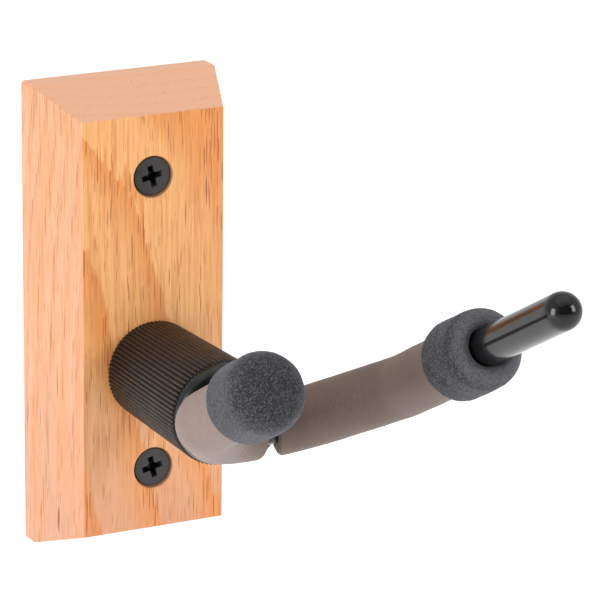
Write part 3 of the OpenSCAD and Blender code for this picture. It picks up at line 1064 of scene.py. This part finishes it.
def tube_sleeve(name, side, start, end, inner_edge):
    """Rubber tube with soft ends, faint bend creases and a notch for the stem."""
    outer, bore = SLEEVE_D / 2, ROD_D / 2 + FIT
    profile = rounded([(start, bore, 0), (start, outer, inner_edge), (end, outer, 0.6), (end, bore, 0)])
    profile = spread(profile + [profile[0]], 1.0)[:-1]
    if side < 0:
        profile = [(-s, r) for s, r in profile]
    seed = Vector((side * 31.0, 0, 0))

    def crease(s, r, angle):
        if r < outer - 0.1:
            return r
        inside = max(0.0, math.cos(angle)) ** 2
        fold = sum(math.exp(-((abs(s) - at) / CREASE_WIDTH) ** 2) for at in CREASES)
        lumps = noise.noise(Vector((s * 0.12, math.cos(angle) * 0.9, math.sin(angle) * 0.9)) + seed)
        return r - CREASE_DEPTH * inside * fold + SLEEVE_LUMPS * lumps

    sleeve = swept(name, rod_path, profile, closed=True, shape=crease)
    front, back, notch_r = -YOKE_REACH, -YOKE_REACH + SLEEVE_D, STEM_D / 2 + WELD_R + 0.6
    notch = [(front, 0), (front, notch_r), (back, notch_r), (back, 0)]
    cut(sleeve, swept("notch", STEM_PATH, notch, around=64))
    return smooth(sleeve, 40)


def foam_skin(amount, seed):
    """Shape function for slightly uneven foam."""
    def uneven(s, r, angle):
        place = Vector((s, r * math.cos(angle), r * math.sin(angle)))
        broad = noise.noise(place * 0.25 + Vector((seed, 0, 0)))
        fine = noise.noise(place * 1.3 + Vector((seed, 9, 0)))
        return max(r + amount * (broad + 0.3 * fine) * min(1.0, r / 3), 0.01)
    return uneven


def foam_start(start, radius):
    """Profile of a foam piece's end next to its sleeve, from the bore to the outside."""
    return rounded([(start + 2, FOAM_BORE, 0), (start, FOAM_BORE, 0.6), (start, radius, 1.0),
                    (start + 3, radius, 0)], steps=10)


def foam_cap():
    """Closed foam cap over the left tip."""
    radius = FOAM_CAP_D / 2 - 0.1
    profile = foam_start(LEFT_SLEEVE_TO + SLEEVE_FOAM_GAP, radius)
    profile = spread(profile + domed(radius, FOAM_CAP_TO - CAP_DOME, FOAM_CAP_TO), 0.6)
    inner = [(LEFT_TIP - 0.4, 0), (LEFT_TIP - 0.2, FOAM_BORE)]
    outer = [(-s, r) for s, r in profile]
    return smooth(swept("foam_cap", rod_path, inner + outer, around=144, shape=foam_skin(0.16, 3.0)), 70)


def foam_barrel():
    """Open foam barrel with a soft funnel where the rod comes out."""
    radius, lip = FOAM_BARREL_D / 2 - 0.1, FOAM_BORE + BARREL_LIP
    shoulder, funnel = (FOAM_BARREL_TO - depth for depth in (BARREL_SHOULDER, BARREL_FUNNEL))
    profile = foam_start(RIGHT_SLEEVE_TO + SLEEVE_FOAM_GAP, radius)
    profile += quarter((shoulder, lip), (0, radius - lip), (BARREL_SHOULDER, 0))
    profile += quarter((funnel, lip), (BARREL_FUNNEL, 0), (0, -BARREL_LIP))[1:]
    profile = spread(profile + profile[:1], 0.6)[:-1]
    skin = foam_skin(0.14, 7.0)
    return smooth(swept("foam_barrel", rod_path, profile, around=144, closed=True, shape=skin), 70)


# ---------------------------------------------------------------- floor, light and camera

def pale_floor():
    """Wide plain floor well below the hanger."""
    half, level = FLOOR_HALF, cad_low.z - FLOOR_DROP
    corners = [(-half, -half, level), (half, -half, level), (half, half, level), (-half, half, level)]
    mesh = bpy.data.meshes.new("floor")
    mesh.from_pydata(corners, [], [(0, 1, 2, 3)])
    floor = bpy.data.objects.new("floor", mesh)
    bpy.context.scene.collection.objects.link(floor)
    m = Shader("floor")
    tone = m.noise(m.place(), scale=0.002, detail=1.0)
    m.set(Base_Color=m.mix(tone, *FLOOR_TONES), Roughness=0.9, Emission_Color=(1, 1, 1, 1),
          Emission_Strength=0.36)
    mesh.materials.append(m.material)


def softbox(name, place, width, height, power):
    """Rectangular area light aimed at the middle of the hanger."""
    data = bpy.data.lights.new(name, "AREA")
    data.shape = "RECTANGLE"
    data.size, data.size_y = width, height
    data.energy = power
    light = bpy.data.objects.new(name, data)
    light.location = place
    aim = (cad_low + cad_high) / 2 - Vector(place)
    light.rotation_euler = aim.to_track_quat("-Z", "Y").to_euler()
    bpy.context.scene.collection.objects.link(light)


def studio():
    """White surroundings that are darker in front, and softboxes at the sides and above."""
    world = bpy.data.worlds.new("studio")
    world.use_nodes = True
    tree = world.node_tree
    background = tree.nodes["Background"]
    where = tree.nodes.new("ShaderNodeTexCoord")
    facing = tree.nodes.new("ShaderNodeVectorMath")
    facing.operation = "DOT_PRODUCT"
    facing.inputs[1].default_value = Vector(DARK_TOWARDS).normalized()
    ramp = tree.nodes.new("ShaderNodeMapRange")
    ramp.interpolation_type = "SMOOTHSTEP"
    for key, value in {"From Min": 0.30, "From Max": 0.95, "To Min": 0.85, "To Max": 0.05}.items():
        ramp.inputs[key].default_value = value
    tree.links.new(where.outputs["Generated"], facing.inputs[0])
    tree.links.new(facing.outputs["Value"], ramp.inputs["Value"])
    tree.links.new(ramp.outputs["Result"], background.inputs["Strength"])
    background.inputs["Color"].default_value = (1, 1, 1, 1)
    bpy.context.scene.world = world
    for name, values in SOFTBOXES.items():
        softbox(name, *values)


def camera():
    """Long-lens camera from the front left, a little above."""
    azimuth, elevation, roll = (math.radians(v) for v in (CAMERA_AZIMUTH, CAMERA_ELEVATION, CAMERA_ROLL))
    ahead = Vector((math.sin(azimuth) * math.cos(elevation), math.cos(azimuth) * math.cos(elevation),
                    -math.sin(elevation)))
    level = Vector((math.cos(azimuth), -math.sin(azimuth), 0))
    upward = level.cross(ahead)
    right = math.cos(roll) * level + math.sin(roll) * upward
    top = math.cos(roll) * upward - math.sin(roll) * level
    data = bpy.data.cameras.new("camera")
    data.sensor_width = SENSOR_MM
    data.lens = LENS_MM
    data.clip_start, data.clip_end = 0.05, 50
    eye = bpy.data.objects.new("camera", data)
    turn = Matrix((right, top, -ahead)).transposed().to_4x4()
    eye.matrix_world = Matrix.Translation(CAMERA_SIDE_STEP * right - CAMERA_DISTANCE * ahead) @ turn
    bpy.context.scene.collection.objects.link(eye)
    bpy.context.scene.camera = eye


# ---------------------------------------------------------------- the scene

def build():
    """Makes every piece and gives it its place in the frame."""
    skins = make_materials()
    pieces = [
        (oak_block(), "wall_unit", "backplate", "oak"),
        (wall_screw("upper"), "wall_unit", "upper_wall_screw", "black_steel"),
        (wall_screw("lower"), "wall_unit", "lower_wall_screw", "black_steel"),
        (ribbed_collar(), "wall_unit", "collar", "collar_plastic"),
        (nose(), "wall_unit", "nose_bushing", "nose_plastic"),
        (rear_bearing(), "wall_unit", "rear_bushing", "natural_nylon"),
        (ring_piece("thrust_ring", "thrust_washer", 0.2), "yoke", "thrust_washer", "nose_plastic"),
        (ring_piece("flat_washer", "rear_washer", 0.25), "yoke", "rear_washer", "zinc_steel"),
        (coned_washer(), "yoke", "spring_washer", "spring_steel"),
        (lock_nut_piece(), "yoke", "lock_nut", "zinc_steel"),
        (ring_piece("nylon_ring", "nut_insert", 0.3), "yoke", "nut_insert", "insert_nylon"),
        (threaded_stem(), "yoke", "pivot_stem", "stem_steel"),
        (weld_bead(), "yoke", "stem_weld", "stem_steel"),
        (coated_rod(), "yoke", "yoke_rod", "rod_coating"),
        (tube_sleeve("left_rubber_sleeve", -1, LEFT_SLEEVE_FROM, LEFT_SLEEVE_TO, 1.5),
         "yoke", "left_sleeve", "sleeve_rubber"),
        (tube_sleeve("right_rubber_sleeve", 1, RIGHT_SLEEVE_FROM, RIGHT_SLEEVE_TO, 0.7),
         "yoke", "right_sleeve", "sleeve_rubber"),
    ]
    for piece, body, node, slot_name in pieces:
        finished(piece, body, node, skins[slot_name])
    cap = finished(foam_cap(), "yoke", "left_foam_cap", skins["foam"])
    barrel = finished(foam_barrel(), "yoke", "right_foam_collar", skins["foam"])


build()
pale_floor()
studio()
camera()
bpy.context.scene.view_settings.view_transform = "Standard"
